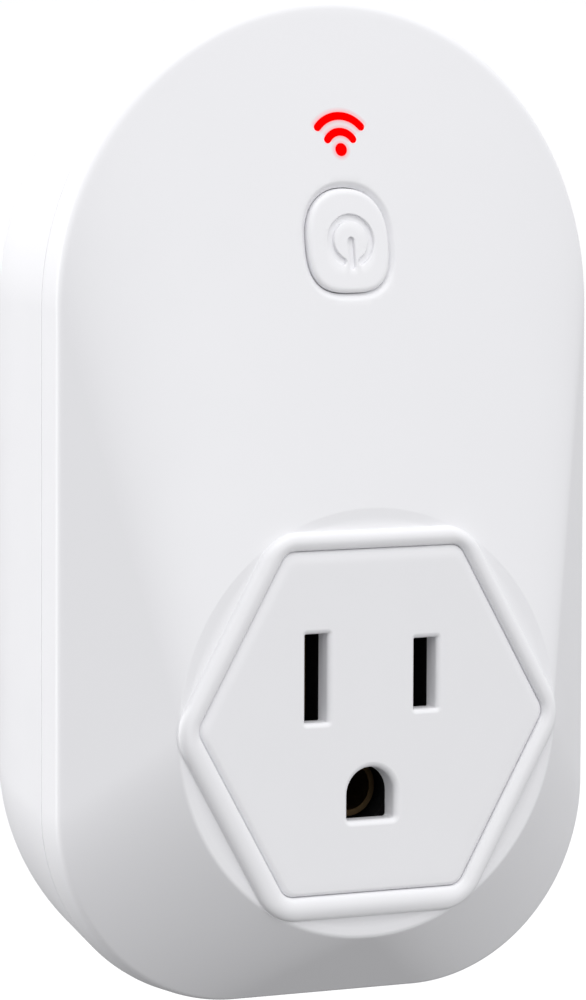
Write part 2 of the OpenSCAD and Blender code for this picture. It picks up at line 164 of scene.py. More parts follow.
# ---------- the body's outline, one sample list for every ring ----------

def outline_samples():
    """Each sample is (normal angle, stretch, share along a straight stretch)."""
    corners = np.radians(60 * np.arange(6))
    angles = np.radians(np.arange(0, 360, 1.0))
    fine = (corners[:, None] + np.radians(np.arange(-7, 7.1, 0.5))[None, :]).ravel() % (2 * math.pi)
    angles = np.unique(np.round(np.concatenate([angles, fine]), 6))
    rows = []

    def straight(angle, stretch, count):
        rows.extend((angle, stretch, k / count) for k in range(1, count))

    def arc(low, high, stretch):
        rows.append((low, stretch, 0.0))
        inside = angles[(angles > low + 1e-4) & (angles < high - 1e-4)]
        rows.extend((a, stretch, 0.0) for a in inside)
        rows.append((high, stretch, 0.0))

    straight(0.0, "right", 20)
    arc(0.0, math.pi, "top")
    straight(math.pi, "left", 20)
    arc(math.pi, 1.5 * math.pi, "left_foot")
    straight(1.5 * math.pi, "foot", 10)
    arc(1.5 * math.pi, 2 * math.pi, "right_foot")
    return rows


SAMPLES = outline_samples()
PHI = np.array([s[0] for s in SAMPLES])
NORMAL = np.stack([np.cos(PHI), np.sin(PHI)], axis=1)


def outline(inset, lift=0.0):
    """Points (x, z) of the outline, drawn in by inset and with its foot raised by lift."""
    w = HALF_W - inset
    r = FOOT_R - inset
    low = FOOT_Z + inset + lift
    points = np.zeros((len(SAMPLES), 2))
    for i, (angle, stretch, share) in enumerate(SAMPLES):
        c, s = math.cos(angle), math.sin(angle)
        if stretch == "top":
            points[i] = (w * c, TOP_C + w * s)
        elif stretch == "right":
            points[i] = (w, low + r + share * (TOP_C - low - r))
        elif stretch == "left":
            points[i] = (-w, TOP_C + share * (low + r - TOP_C))
        elif stretch == "left_foot":
            points[i] = (-(w - r) + r * c, low + r + r * s)
        elif stretch == "foot":
            points[i] = (-(w - r) + share * 2 * (w - r), low)
        else:
            points[i] = (w - r + r * c, low + r + r * s)
    return points


def outline_ring(y, inset):
    p = outline(inset, FOOT_LIFT * max(y - PARTING_Y, 0))
    return place(p[:, 0], y, p[:, 1])


def boss_circle(radius, y):
    return place(radius * NORMAL[:, 0], y, DISC_Z + radius * NORMAL[:, 1])


def hexagon_radius(angle, flat, corner):
    """Distance from the centre to a rounded hexagon with flats at the top and bottom."""
    corner = max(corner, 0.05)
    a = (np.asarray(angle) + math.pi / 6) % (math.pi / 3) - math.pi / 6
    reach = (flat - corner) / math.cos(math.pi / 6)
    on_flat = flat / np.cos(math.pi / 6 - np.abs(a))
    side = reach * np.sin(np.abs(a))
    on_arc = reach * np.cos(a) + np.sqrt(np.maximum(corner**2 - side**2, 0))
    # the flat starts where its foot passes the corner circle's own tangent point
    along = on_flat * np.sin(math.pi / 6 - np.abs(a))
    return np.where(along <= reach * math.sin(math.pi / 6), on_flat, on_arc)


def hexagon_ring(flat, corner, y, x=0.0, z=0.0):
    """A rounded hexagon with its centre moved by x, z from the boss's."""
    radius = hexagon_radius(PHI, flat, corner)
    return place(x + radius * np.cos(PHI), y, DISC_Z + z + radius * np.sin(PHI))


# ---------- the front's crowned loft, from the body's edge to the boss ----------

def crown(normal_z):
    """The upper front is slightly crowned; the sides and foot are straight."""
    return CROWN * np.clip(normal_z, 0, 1) ** 2


def loft_rings():
    """Rings over the edge's fillet, the loft and the boss's fillet."""
    start = outline(0)
    end = np.stack([DISC_R * NORMAL[:, 0], DISC_Z + DISC_R * NORMAL[:, 1]], axis=1)
    across = end - start
    inward = -(across * NORMAL).sum(1)
    swell = crown(NORMAL[:, 1])

    def ring(step_in, height):
        share = np.minimum(step_in / inward, 1)
        p = start + across * share[:, None] - NORMAL * np.maximum(step_in - inward, 0)[:, None]
        return place(p[:, 0], RIM_Y - height, p[:, 1])

    rings = []
    edge_steps, loft_steps, fillet_steps = 8, 72, 6
    lean0 = np.arctan2(inward, LOFT_H + 4 * swell)
    lean1 = np.arctan2(inward, LOFT_H - 4 * swell)
    cut0 = RIM_FILLET * np.tan(lean0 / 2)
    cut1 = DISC_FILLET * np.tan((math.pi / 2 - lean1) / 2)
    for k in range(edge_steps + 1):
        a = lean0 * k / edge_steps
        rings.append(ring(RIM_FILLET * (1 - np.cos(a)), RIM_FILLET * np.sin(a) - cut0))
    u0 = cut0 * np.sin(lean0) / inward
    u1 = 1 - cut1 * np.sin(lean1) / inward
    for k in range(1, loft_steps):
        u = u0 + (u1 - u0) * k / loft_steps
        rings.append(ring(inward * u, LOFT_H * u + 4 * swell * u * (1 - u)))
    last_in, last_h = inward * u1, LOFT_H * u1 + 4 * swell * u1 * (1 - u1)
    for k in range(fillet_steps + 1):
        a = lean1 + (math.pi / 2 - lean1) * k / fillet_steps
        step_in = last_in + DISC_FILLET * (np.cos(lean1) - np.cos(a))
        height = last_h + DISC_FILLET * (np.sin(a) - np.sin(lean1))
        rings.append(ring(step_in, height))
    return rings


def loft_height(x, z):
    """Height of the upper front above the edge's plane, above the boss and between the sides."""
    x, z = np.asarray(x, float), np.asarray(z, float)
    fall, shrink = DISC_Z - TOP_C, DISC_R - HALF_W
    # |(x, z - TOP_C - fall u)| = HALF_W + shrink u
    dz = z - TOP_C
    a = fall**2 - shrink**2
    b = -2 * (dz * fall + HALF_W * shrink)
    c = x**2 + dz**2 - HALF_W**2
    u = (-b + np.sqrt(np.maximum(b * b - 4 * a * c, 0))) / (2 * a)
    u2 = (-b - np.sqrt(np.maximum(b * b - 4 * a * c, 0))) / (2 * a)
    u = np.where((u2 >= 0) & (u2 <= 1), u2, u)
    rho = HALF_W + shrink * u
    normal_z = (dz - fall * u) / rho
    return LOFT_H * u + 4 * crown(normal_z) * u * (1 - u)


def front_y(x, z):
    """The upper front's y at x, z."""
    return RIM_Y - loft_height(x, z)


# ---------- the button's outline: round at the top, squarer at the foot ----------

BUTTON_HALF_W = 4.7
BUTTON_X = -0.14
BUTTON_HALF_H = 5.26
BUTTON_TOP_POWER = 2.25
BUTTON_FOOT_POWER = 3.0
BUTTON_GAP = 0.08
# the recess round the button: offset outwards against depth
BUTTON_LIP = ((0.0, 5.0), (0.0, 0.62), (0.05, 0.52), (0.3, 0.28), (0.46, 0.14), (0.56, 0.07),
              (0.66, 0.025), (0.78, -0.005), (1.1, -0.08))


def button_outline(offset, count=180):
    """Points (x, z) about the button's centre, moved out by offset along the normal."""
    t = np.linspace(0, 2 * math.pi, count, endpoint=False)
    c, s = np.cos(t), np.sin(t)
    power = np.where(s > 0, BUTTON_TOP_POWER, BUTTON_FOOT_POWER)
    x = BUTTON_HALF_W * np.sign(c) * np.abs(c) ** (2 / power)
    z = BUTTON_HALF_H * np.sign(s) * np.abs(s) ** (2 / power)
    # even out the spacing, then find the normals
    closed = np.stack([np.append(x, x[0]), np.append(z, z[0])], axis=1)
    run = np.append(0, np.cumsum(np.linalg.norm(np.diff(closed, axis=0), axis=1)))
    even = np.linspace(0, run[-1], count, endpoint=False)
    x, z = np.interp(even, run, closed[:, 0]), np.interp(even, run, closed[:, 1])
    tx, tz = np.roll(x, -1) - np.roll(x, 1), np.roll(z, -1) - np.roll(z, 1)
    length = np.hypot(tx, tz)
    return x + offset * tz / length, z - offset * tx / length


def round_lip(lip, depth):
    """Profile of a hole whose edge is rounded by lip, as offsets outwards against depth."""
    lift = 0.5
    profile = [(0.0, depth)]
    profile += [(lip - lip * math.cos(a), lip - lip * math.sin(a)) for a in np.radians(np.arange(0, 81, 10))]
    out, down = profile[-1]
    profile.append((out + lift * math.cos(math.radians(10)), down - lift * math.sin(math.radians(10))))
    return profile


def flare(outline_at, surface_y, profile):
    """A cutter with this edge profile: outline_at(offset) gives (x, z), surface_y(x, z) the face."""
    rings = []
    for offset, drop in profile:
        x, z = outline_at(offset)
        rings.append(place(x, surface_y(x, z) + drop, z))
    x, z = outline_at(profile[-1][0])
    rings.append(place(x, surface_y(x, z) - 3.0, z))
    return make_object("cutter", *skin(rings), weld=False)


# ---------- covers ----------

def front_cover():
    """Shell with its edge fillet, crowned loft, round boss, bead and the button's recess."""
    rings = [outline_ring(PARTING_Y, WALL), outline_ring(PARTING_Y, SEAM)]
    rings += [outline_ring(PARTING_Y - 0.05, 0.03), outline_ring(PARTING_Y - 0.25, 0.0)]
    wall_top = RIM_Y + 1.3
    for y in np.linspace(PARTING_Y - 0.9, wall_top, 3):
        rings.append(outline_ring(y, 0.0))
    rings += loft_rings()
    rings.append(boss_circle(DISC_R - 0.9, DISC_Y))
    # the bead: a small fillet at its foot, a half-round top and the hole's wall inside it
    bead_w = BEAD_FLAT - HOLE_FLAT
    profile = [(-0.12, 0.0), (-0.03, 0.04)]
    for a in np.radians(np.arange(6, 175, 12)):
        profile.append((bead_w / 2 * (1 - math.cos(a)), BEAD_H * math.sin(a) ** 0.85))
    profile += [(bead_w, 0.0), (bead_w + 0.01, -0.1), (bead_w + 0.02, -2.0)]
    for step_in, height in profile:
        share = min(max(step_in / bead_w, 0), 1)
        rings.append(hexagon_ring(BEAD_FLAT - step_in, BEAD_CORNER - step_in * 1.5, DISC_Y - height,
                                  HOLE_X * share, HOLE_Z * share))
    rings.append(boss_circle(DISC_R - 1.8, DISC_Y + WALL))
    inner_rim = outline(WALL + 1.0)
    rings.append(place(inner_rim[:, 0], RIM_Y - 0.3, inner_rim[:, 1]))
    rings.append(outline_ring(RIM_Y + 0.4, WALL))
    cover = make_object("front_shell", *skin(rings, closed=True))
    cutter = flare(lambda n: moved(button_outline(n + BUTTON_GAP), BUTTON_X, BUTTON_Z), front_y, BUTTON_LIP)
    cut_away(cover, cutter)
    shade(cover)
    even_normals(cover)
    finish_piece(cover, "housing", "shell_white", ["front_cover"])
    return cover


def rear_cover():
    """Shell with a slow curve into its back edge, a flat back, and the holes in it."""
    big, small = 20.0, 1.8
    start_y, draft = -8.0, 0.063
    turn = math.asin((-small - start_y) / (big - small))
    rings = [outline_ring(PARTING_Y + 0.02, WALL + 0.2), outline_ring(PARTING_Y + 0.02, SEAM)]
    rings += [outline_ring(PARTING_Y + 0.07, 0.03), outline_ring(PARTING_Y + 0.27, 0.0)]
    for a in np.linspace(0, turn, 14):
        y = start_y + big * math.sin(a)
        rings.append(outline_ring(y, big * (1 - math.cos(a)) + draft * (y - PARTING_Y)))
    centre_in = big - (big - small) * math.cos(turn) - draft * PARTING_Y
    for a in np.linspace(turn, math.pi / 2, 10)[1:]:
        y = -small + small * math.sin(a)
        rings.append(outline_ring(y, centre_in - small * math.cos(a) + draft * y))
    rings.append(outline_ring(0.0, centre_in + 3.0))
    rings.append(outline_ring(0.0, centre_in + 12.0))
    inner = [outline_ring(-WALL, centre_in + 8.0), outline_ring(-WALL, centre_in + 1.5)]
    inner += [outline_ring(-5.0, 4.4), outline_ring(-9.0, WALL + 1.2)]
    outer_v, outer_f = skin(rings, start_cap=False)
    inner_v, inner_f = skin(inner, end_cap=False)
    count = len(PHI)
    base = len(outer_v)
    faces = list(outer_f) + [tuple(base + k for k in f) for f in inner_f]
    last = base + (len(inner) - 1) * count
    faces += [(last + k, last + (k + 1) % count, (k + 1) % count, k) for k in range(count)]
    cover = make_object("rear_shell", np.vstack([outer_v, inner_v]), faces)
    for cutter in rear_cutters():
        cut_away(cover, cutter)
    shade(cover)
    even_normals(cover)
    finish_piece(cover, "housing", "shell_white", ["rear_cover"])
    return cover


def rounded_rectangle(half_w, half_h, radius, offset, steps=6):
    """Points (x, z) of a rounded rectangle moved out by offset."""
    r = max(radius + offset, 0.02)
    w, h = half_w + offset - r, half_h + offset - r
    points = []
    for quarter, (sx, sz) in enumerate([(1, 1), (-1, 1), (-1, -1), (1, -1)]):
        for k in range(steps + 1):
            a = math.pi / 2 * (quarter + k / steps)
            points.append((sx * w + r * math.cos(a), sz * h + r * math.sin(a)))
    p = np.array(points)
    return p[:, 0], p[:, 1]


def circle_points(radius, offset, steps=48):
    """Points (x, z) of a circle moved out by offset."""
    t = np.linspace(0, 2 * math.pi, steps, endpoint=False)
    return (radius + offset) * np.cos(t), (radius + offset) * np.sin(t)


def back_cutter(outline_at, x0, z0, lip, depth):
    """A cutter with a rounded lip on the flat back face."""
    profile = [(0.0, -depth)]
    profile += [(lip - lip * math.cos(a), -lip + lip * math.sin(a)) for a in np.radians(np.arange(0, 81, 20))]
    out, y = profile[-1]
    profile += [(out + 0.5, y + 0.09), (out + 0.5, 1.0)]
    rings = []
    for offset, drop in profile:
        x, z = outline_at(offset)
        rings.append(place(x + x0, drop, z + z0))
    return make_object("cutter", *skin(rings), weld=False)


def rear_cutters():
    """The blades' slots, the four screw recesses and the ground pin's hole."""
    cutters = []
    for side in (-1, 1):
        cutters.append(back_cutter(lambda n: rounded_rectangle(0.9, 3.33, 0.3, n),
                                   side * SLOT_PITCH / 2, 0.0, 0.3, 4.0))
        for x0, z0 in ((15.2, 51.9), (19.4, -17.0)):
            cutters.append(back_cutter(lambda n: circle_points(2.7, n), side * x0, z0, 0.35, 3.0))
    cutters.append(back_cutter(lambda n: circle_points(2.53, n), 0.0, GROUND_Z, 0.3, 4.0))
    return cutters


# ---------- outlet face ----------

def ground_outline(offset):
    """A U: half-round top over a flat foot with small corners."""
    half_w, foot, r = 2.75 + offset, -2.62 - offset, 0.35 + offset
    points = []
    for a in np.linspace(0, math.pi, 25):
        points.append((half_w * math.cos(a), half_w * math.sin(a)))
    for a in np.linspace(math.pi, 1.5 * math.pi, 6):
        points.append((-half_w + r + r * math.cos(a), foot + r + r * math.sin(a)))
    for a in np.linspace(1.5 * math.pi, 2 * math.pi, 6):
        points.append((half_w - r + r * math.cos(a), foot + r + r * math.sin(a)))
    p = np.array(points)
    return p[:, 0], p[:, 1]


def receptacle_face():
    """The hexagonal outlet plate with a rounded shoulder, two slots and the ground hole."""
    rings = [hexagon_ring(FACE_FLAT - 2.3, 1.0, FACE_EDGE_Y)]
    rings.append(hexagon_ring(FACE_FLAT, FACE_CORNER, FACE_EDGE_Y, HOLE_X, HOLE_Z))
    rings.append(hexagon_ring(FACE_FLAT, FACE_CORNER, FACE_Y + 1.3, HOLE_X, HOLE_Z))
    # the shoulder is wider at the top, so the flat's centre lies below the hole's
    shoulder_w, shoulder_d = 0.95, 0.48
    for a in np.radians(np.arange(0, 91, 9)):
        share = 1 - math.cos(a)
        rings.append(hexagon_ring(FACE_FLAT - shoulder_w * share, FACE_CORNER - 0.3 * share,
                                  FACE_Y + shoulder_d * (1 - math.sin(a)),
                                  HOLE_X + 0.1 * share, HOLE_Z - 0.5 * share))
    rings.append(hexagon_ring(FACE_FLAT - 1.8, 1.2, FACE_Y))
    rings.append(hexagon_ring(FACE_FLAT - 4.0, 1.0, FACE_Y))
    inner = [hexagon_ring(FACE_FLAT - 4.0, 1.0, FACE_Y + FACE_T)]
    inner.append(hexagon_ring(FACE_FLAT - 2.3, 1.0, FACE_Y + FACE_T))
    outer_v, outer_f = skin(rings, start_cap=False)
    inner_v, inner_f = skin(inner, end_cap=False)
    base = len(outer_v)
    count = len(PHI)
    faces = list(outer_f) + [tuple(base + k for k in f) for f in inner_f]
    last = base + count
    faces += [(last + k, last + (k + 1) % count, (k + 1) % count, k) for k in range(count)]
    plate = make_object("outlet_plate", np.vstack([outer_v, inner_v]), faces)

    def face(x, z):
        return np.full_like(np.asarray(x, float), FACE_Y)

    for x0, z0, half_h in SLOTS:
        cut_away(plate, flare(lambda n: moved(rounded_rectangle(SLOT_HALF_W, half_h, SLOT_CORNER, n), x0, z0),
                              face, round_lip(SLOT_LIP, HOLE_DEPTH)))
    cut_away(plate, flare(lambda n: moved(ground_outline(n), 0.05, GROUND_Z - 0.22),
                          face, round_lip(GROUND_LIP, HOLE_DEPTH)))
    shade(plate)
    even_normals(plate)
    finish_piece(plate, "housing", "face_white", ["receptacle_face"])
    return plate


def moved(points, x, z):
    """Points (x, z) shifted by x and z."""
    return points[0] + x, points[1] + z


# ---------- button ----------

RING_R = 2.33
RING_HALF_ANGLE = 153
STROKE = 0.72
BAR_FOOT = -2.55
GROOVE_DEPTH = 0.4
CAP_PROUD = 0.08


def cap_face_y(x, z):
    """The cap's face follows the front's slope, a little proud of it."""
    return front_y(x * 0, z) - CAP_PROUD


def cap_ring(offset, drop, share=1.0):
    x, z = button_outline(offset, 240)
    x, z = x * share + BUTTON_X, z * share + BUTTON_Z
    return place(x, cap_face_y(x, z) + drop, z)


def button_cap():
    """Cap with rounded shoulders and the power symbol pressed into it."""
    shoulder, drop, skirt = 0.62, 0.42, 3.4
    rings = [cap_ring(0.0, skirt), cap_ring(0.0, 2.2), cap_ring(0.0, 1.4)]
    for a in np.radians(np.arange(0, 91, 9)):
        rings.append(cap_ring(-shoulder * (1 - math.cos(a)), drop * (1 - math.sin(a))))
    for share in (0.97, 0.9, 0.75, 0.5, 0.25):
        rings.append(cap_ring(-shoulder, 0.0, share))
    cap = make_object("power_button", *skin(rings))
    profile = [(0.0, GROOVE_DEPTH), (0.0, 0.12), (0.03, 0.05), (0.1, 0.0), (0.2, -0.03)]
    shapes = (lambda n: stroke_outline(RING_R, RING_HALF_ANGLE, STROKE + 2 * n),
              lambda n: bar_outline(BAR_FOOT, STROKE + 2 * n))
    for shape in shapes:
        cut_away(cap, flare(lambda n: moved(shape(n).T, 0.08, BUTTON_Z), cap_face_y, profile))
    shade(cap)
    even_normals(cap)
    finish_piece(cap, "button", "button_white", ["button_cap"])
    return cap


def bar_outline(foot, width):
    """Outline (x, z) of an upright bar with round ends, from the centre down to foot."""
    half = width / 2
    top = [(half * math.cos(a), half * math.sin(a)) for a in np.linspace(0, math.pi, 11)]
    low = [(half * math.cos(a), foot + half * math.sin(a)) for a in np.linspace(math.pi, 2 * math.pi, 11)]
    return np.array(top + low)


# ---------- lit icon ----------

ICON_X = -0.17
ICON_STROKE = 0.8
ICON_ARCS = ((1.8, 55), (3.4, 48))
ICON_DOT = 0.66


def stroke_outline(radius, half_angle, width):
    """Outline (x, z) of an arc with round ends, opening downwards."""
    half = math.radians(half_angle)
    points = []
    for a in np.linspace(half, -half, 28):
        points.append(((radius + width / 2) * math.sin(a), (radius + width / 2) * math.cos(a)))
    for side, start in ((-1, 0.0), (1, math.pi)):
        cx, cz = side * radius * math.sin(half), radius * math.cos(half)
        lean = side * half
        for b in np.linspace(0, math.pi, 9)[1:-1]:
            a = start + b
            dx, dz = math.cos(a), math.sin(a)
            turn = math.pi / 2 - lean
            points.append((cx + width / 2 * (math.cos(turn) * dx - math.sin(turn) * dz),
                           cz + width / 2 * (math.sin(turn) * dx + math.cos(turn) * dz)))
        if side == -1:
            for a in np.linspace(-half, half, 28):
                points.append(((radius - width / 2) * math.sin(a), (radius - width / 2) * math.cos(a)))
    return np.array(points)


def lit_icon():
    """The light guide's dot and arcs, flush with the front."""
    shapes = [stroke_outline(r, a, ICON_STROKE) for r, a in ICON_ARCS]
    x, z = circle_points(ICON_DOT, 0.0, 36)
    shapes.append(np.stack([x, z], axis=1))
    vertices, faces = [], []
    for shape in shapes:
        rings = []
        for proud in (-0.6, 0.03):
            x, z = shape[:, 0] + ICON_X, shape[:, 1] + ICON_Z
            rings.append(place(x, front_y(x, z) - proud, z))
        v, f = skin(rings)
        faces += [tuple(len(vertices) + k for k in face) for face in f]
        vertices += v.tolist()
    icon = make_object("status_icon", vertices, faces, weld=False)
    finish_piece(icon, "housing", "icon_red", ["light_guide"])
    return icon


# ---------- materials ----------

def new_material(name):
    material = bpy.data.materials.new(name)
    material.use_nodes = True
    tree = material.node_tree
    shader = tree.nodes["Principled BSDF"]
    return material, tree, shader


def link(tree, a, b):
    tree.links.new(a, b)


def object_coordinates(tree):
    return tree.nodes.new("ShaderNodeTexCoord").outputs["Object"]


def noise(tree, coordinates, size_mm, detail=3.0):
    node = tree.nodes.new("ShaderNodeTexNoise")
    node.inputs["Scale"].default_value = 1.0 / (size_mm * MM)
    node.inputs["Detail"].default_value = detail
    link(tree, coordinates, node.inputs["Vector"])
    return node.outputs["Fac"]


def ramp(tree, value, low, high, low_out, high_out):
    node = tree.nodes.new("ShaderNodeMapRange")
    node.inputs["From Min"].default_value = low
    node.inputs["From Max"].default_value = high
    node.inputs["To Min"].default_value = low_out
    node.inputs["To Max"].default_value = high_out
    link(tree, value, node.inputs["Value"])
    return node.outputs["Result"]


def colour_between(tree, value, low_colour, high_colour):
    node = tree.nodes.new("ShaderNodeMix")
    node.data_type = "RGBA"
    node.inputs["A"].default_value = (*low_colour, 1)
    node.inputs["B"].default_value = (*high_colour, 1)
    link(tree, value, node.inputs["Factor"])
    return node.outputs["Result"]


def bump(tree, shader, height, distance_mm, strength):
    node = tree.nodes.new("ShaderNodeBump")
    node.inputs["Distance"].default_value = distance_mm * MM
    node.inputs["Strength"].default_value = strength
    link(tree, height, node.inputs["Height"])
    link(tree, node.outputs["Normal"], shader.inputs["Normal"])


def speckled(name, colour, spread=0.03, roughness=(0.35, 0.45), grain_mm=0.25, depth_mm=0.01, metallic=0.0,
             strength=0.25, patch_mm=6.0):
    """A moulded or plated surface: slow colour drift, uneven gloss and a fine grain."""
    material, tree, shader = new_material(name)
    coordinates = object_coordinates(tree)
    patches = ramp(tree, noise(tree, coordinates, patch_mm), 0.3, 0.7, 0, 1)
    low = [max(c * (1 - spread), 0) for c in colour]
    high = [min(c * (1 + spread), 1) for c in colour]
    link(tree, colour_between(tree, patches, low, high), shader.inputs["Base Color"])
    gloss = noise(tree, coordinates, patch_mm * 0.4)
    link(tree, ramp(tree, gloss, 0.3, 0.7, *roughness), shader.inputs["Roughness"])
    bump(tree, shader, noise(tree, coordinates, grain_mm, 2.0), depth_mm, strength)
    shader.inputs["Metallic"].default_value = metallic
    return material


def math_node(tree, operation, a, b=None, c=None):
    node = tree.nodes.new("ShaderNodeMath")
    node.operation = operation
    for slot, value in zip(node.inputs, (a, b, c)):
        if value is None:
            continue
        if isinstance(value, (int, float)):
            slot.default_value = value
        else:
            link(tree, value, slot)
    return node.outputs["Value"]


def shell_plastic(name, colour):
    """White satin plastic with a little of the icon's red light painted into its colour round the icon."""
    material, tree, shader = new_material(name)
    coordinates = object_coordinates(tree)
    patches = ramp(tree, noise(tree, coordinates, 14.0), 0.3, 0.7, 0, 1)
    base = colour_between(tree, patches, [c * 0.992 for c in colour], colour)
    split = tree.nodes.new("ShaderNodeSeparateXYZ")
    link(tree, coordinates, split.inputs["Vector"])
    x = math_node(tree, "MULTIPLY_ADD", split.outputs["X"], 1 / MM, -ICON_X)
    z = math_node(tree, "MULTIPLY_ADD", split.outputs["Z"], 1 / MM, -ICON_Z)
    # painted glow: the icon's red light is painted into the base colour on the front, round the arcs and the
    # dot
    front = ramp(tree, split.outputs["Y"], -0.0195, -0.0185, 1, 0)
    radius = math_node(tree, "SQRT", math_node(tree, "ADD", math_node(tree, "MULTIPLY", x, x),
                                               math_node(tree, "MULTIPLY", z, z)))
    facing = math_node(tree, "DIVIDE", z, math_node(tree, "MAXIMUM", radius, 0.01))
    sector = ramp(tree, facing, 0.58, 0.68, 0, 1)
    near = [math_node(tree, "ABSOLUTE", math_node(tree, "SUBTRACT", radius, r)) for r, _ in ICON_ARCS]
    to_arc = math_node(tree, "SUBTRACT", math_node(tree, "MINIMUM", *near), ICON_STROKE / 2)
    arc_glow = math_node(tree, "MULTIPLY", ramp(tree, to_arc, 0.0, 0.5, 1, 0), sector)
    dot_glow = ramp(tree, radius, ICON_DOT, ICON_DOT + 0.5, 1, 0)
    glow = math_node(tree, "MULTIPLY", math_node(tree, "MAXIMUM", arc_glow, dot_glow), 0.7)
    glow = math_node(tree, "MULTIPLY", glow, front)
    # painted glow: red mixed into the base colour by the glow mask
    painted_glow_mix = tree.nodes.new("ShaderNodeMix")
    painted_glow_mix.data_type = "RGBA"
    painted_glow_mix.inputs["B"].default_value = (1.0, 0.35, 0.38, 1)
    link(tree, glow, painted_glow_mix.inputs["Factor"])
    link(tree, base, painted_glow_mix.inputs["A"])
    link(tree, painted_glow_mix.outputs["Result"], shader.inputs["Base Color"])
    gloss = noise(tree, coordinates, 5.0)
    link(tree, ramp(tree, gloss, 0.3, 0.7, 0.36, 0.42), shader.inputs["Roughness"])
    bump(tree, shader, noise(tree, coordinates, 0.18, 2.0), 0.006, 0.25)
    shader.inputs["IOR"].default_value = 1.5
    return material


def lit_plastic(name, colour):
    """Light guide: glows nearly evenly, with a faint patchy variation in strength and colour."""
    material, tree, shader = new_material(name)
    coordinates = object_coordinates(tree)
    patches = noise(tree, coordinates, 0.8)
    link(tree, colour_between(tree, patches, [c * 0.85 for c in colour], colour), shader.inputs["Base Color"])
    link(tree, ramp(tree, patches, 0.3, 0.7, 1.1, 1.3), shader.inputs["Emission Strength"])
    shader.inputs["Emission Color"].default_value = (1.0, 0.0, 0.0, 1)
    shader.inputs["Specular IOR Level"].default_value = 0.0
    shader.inputs["Roughness"].default_value = 0.6
    return material


def even_normals(obj):
    """Keep flat faces flat to the light beside the rounded lips cut into them."""
    modifier = obj.modifiers.new("even", "WEIGHTED_NORMAL")
    modifier.keep_sharp = True


def finish_piece(obj, body, slot, replaced):
    """Give a piece its material, its body and the CAD nodes that it stands in for."""
    obj.data.materials.clear()
    obj.data.materials.append(MATERIALS[slot])
    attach(obj, body)
    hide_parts(*replaced)


WHITE = (0.865, 0.865, 0.885)
MATERIALS = {
    "shell_white": shell_plastic("shell_white", WHITE),
    "face_white": speckled("face_white", WHITE, 0.004, (0.38, 0.44), 0.18, 0.006),
    "button_white": speckled("button_white", WHITE, 0.004, (0.36, 0.42), 0.18, 0.005),
    "icon_red": lit_plastic("icon_red", (0.9, 0.0, 0.0)),
    "led_lens": speckled("led_lens", (0.9, 0.85, 0.55), 0.1, (0.1, 0.2), 0.3, 0.01, patch_mm=0.6),
    "black_plastic": speckled("black_plastic", (0.012, 0.012, 0.013), 0.2, (0.5, 0.65), 0.3, 0.02,
                              patch_mm=3.0),
    "ivory_plastic": speckled("ivory_plastic", (0.70, 0.66, 0.50), 0.05, (0.45, 0.6), 0.3, 0.015),
    "board_green": speckled("board_green", (0.012, 0.13, 0.05), 0.35, (0.25, 0.4), 0.6, 0.02, patch_mm=1.6),
    "relay_blue": speckled("relay_blue", (0.03, 0.10, 0.36), 0.1, (0.2, 0.35), 0.4, 0.01),
    "copper_wire": speckled("copper_wire", (0.55, 0.20, 0.07), 0.2, (0.25, 0.4), 0.18, 0.05, 0.9, 0.8, 1.0),
    "steel": speckled("steel", (0.55, 0.55, 0.57), 0.12, (0.25, 0.45), 0.2, 0.01, 1.0, 0.4, 2.0),
    "nickel": speckled("nickel", (0.72, 0.70, 0.66), 0.08, (0.18, 0.34), 0.15, 0.006, 1.0, 0.4, 2.5),
    # painted shade: the contacts' brass is darkened nearly to black, standing in for the shade deep inside
    # the outlet's holes
    "contact_brass": speckled("contact_brass", (0.09, 0.06, 0.03), 0.15, (0.5, 0.65), 0.2, 0.008,
                              1.0, 0.4, 2.0),
    "capacitor_sleeve": speckled("capacitor_sleeve", (0.02, 0.025, 0.06), 0.2, (0.2, 0.3), 0.4, 0.01),
    "resistor_green": speckled("resistor_green", (0.08, 0.26, 0.17), 0.15, (0.35, 0.5), 0.3, 0.02,
                               patch_mm=1.0),
    "film_yellow": speckled("film_yellow", (0.68, 0.42, 0.06), 0.06, (0.25, 0.4), 0.4, 0.01),
    "lead_black": speckled("lead_black", (0.015, 0.015, 0.015), 0.2, (0.35, 0.5), 0.3, 0.01, patch_mm=1.5),
    "lead_white": speckled("lead_white", (0.72, 0.72, 0.68), 0.05, (0.35, 0.5), 0.3, 0.01, patch_mm=1.5),
    "lead_red": speckled("lead_red", (0.40, 0.02, 0.015), 0.1, (0.35, 0.5), 0.3, 0.01, patch_mm=1.5),
    "insulation_paper": speckled("insulation_paper", (0.60, 0.54, 0.38), 0.12, (0.75, 0.9), 0.25, 0.03,
                                 strength=0.6),
}


def dress_cad_nodes():
    """Every carried-over CAD node gets its slot's material and slightly softened edges."""
    for row in frame["record"]["subparts"]:
        obj = NODES[row["node"]]
        obj.data.materials.clear()
        obj.data.materials.append(MATERIALS[row["material_slot"]])
        if obj.hide_render:
            continue
        edge = obj.modifiers.new("edge", "BEVEL")
        edge.width = (0.25 if row["node"].endswith("blade") else 0.06) * MM
        edge.segments = 3
        edge.limit_method = "ANGLE"
        edge.angle_limit = math.radians(50)


# ---------- camera, light and floor ----------

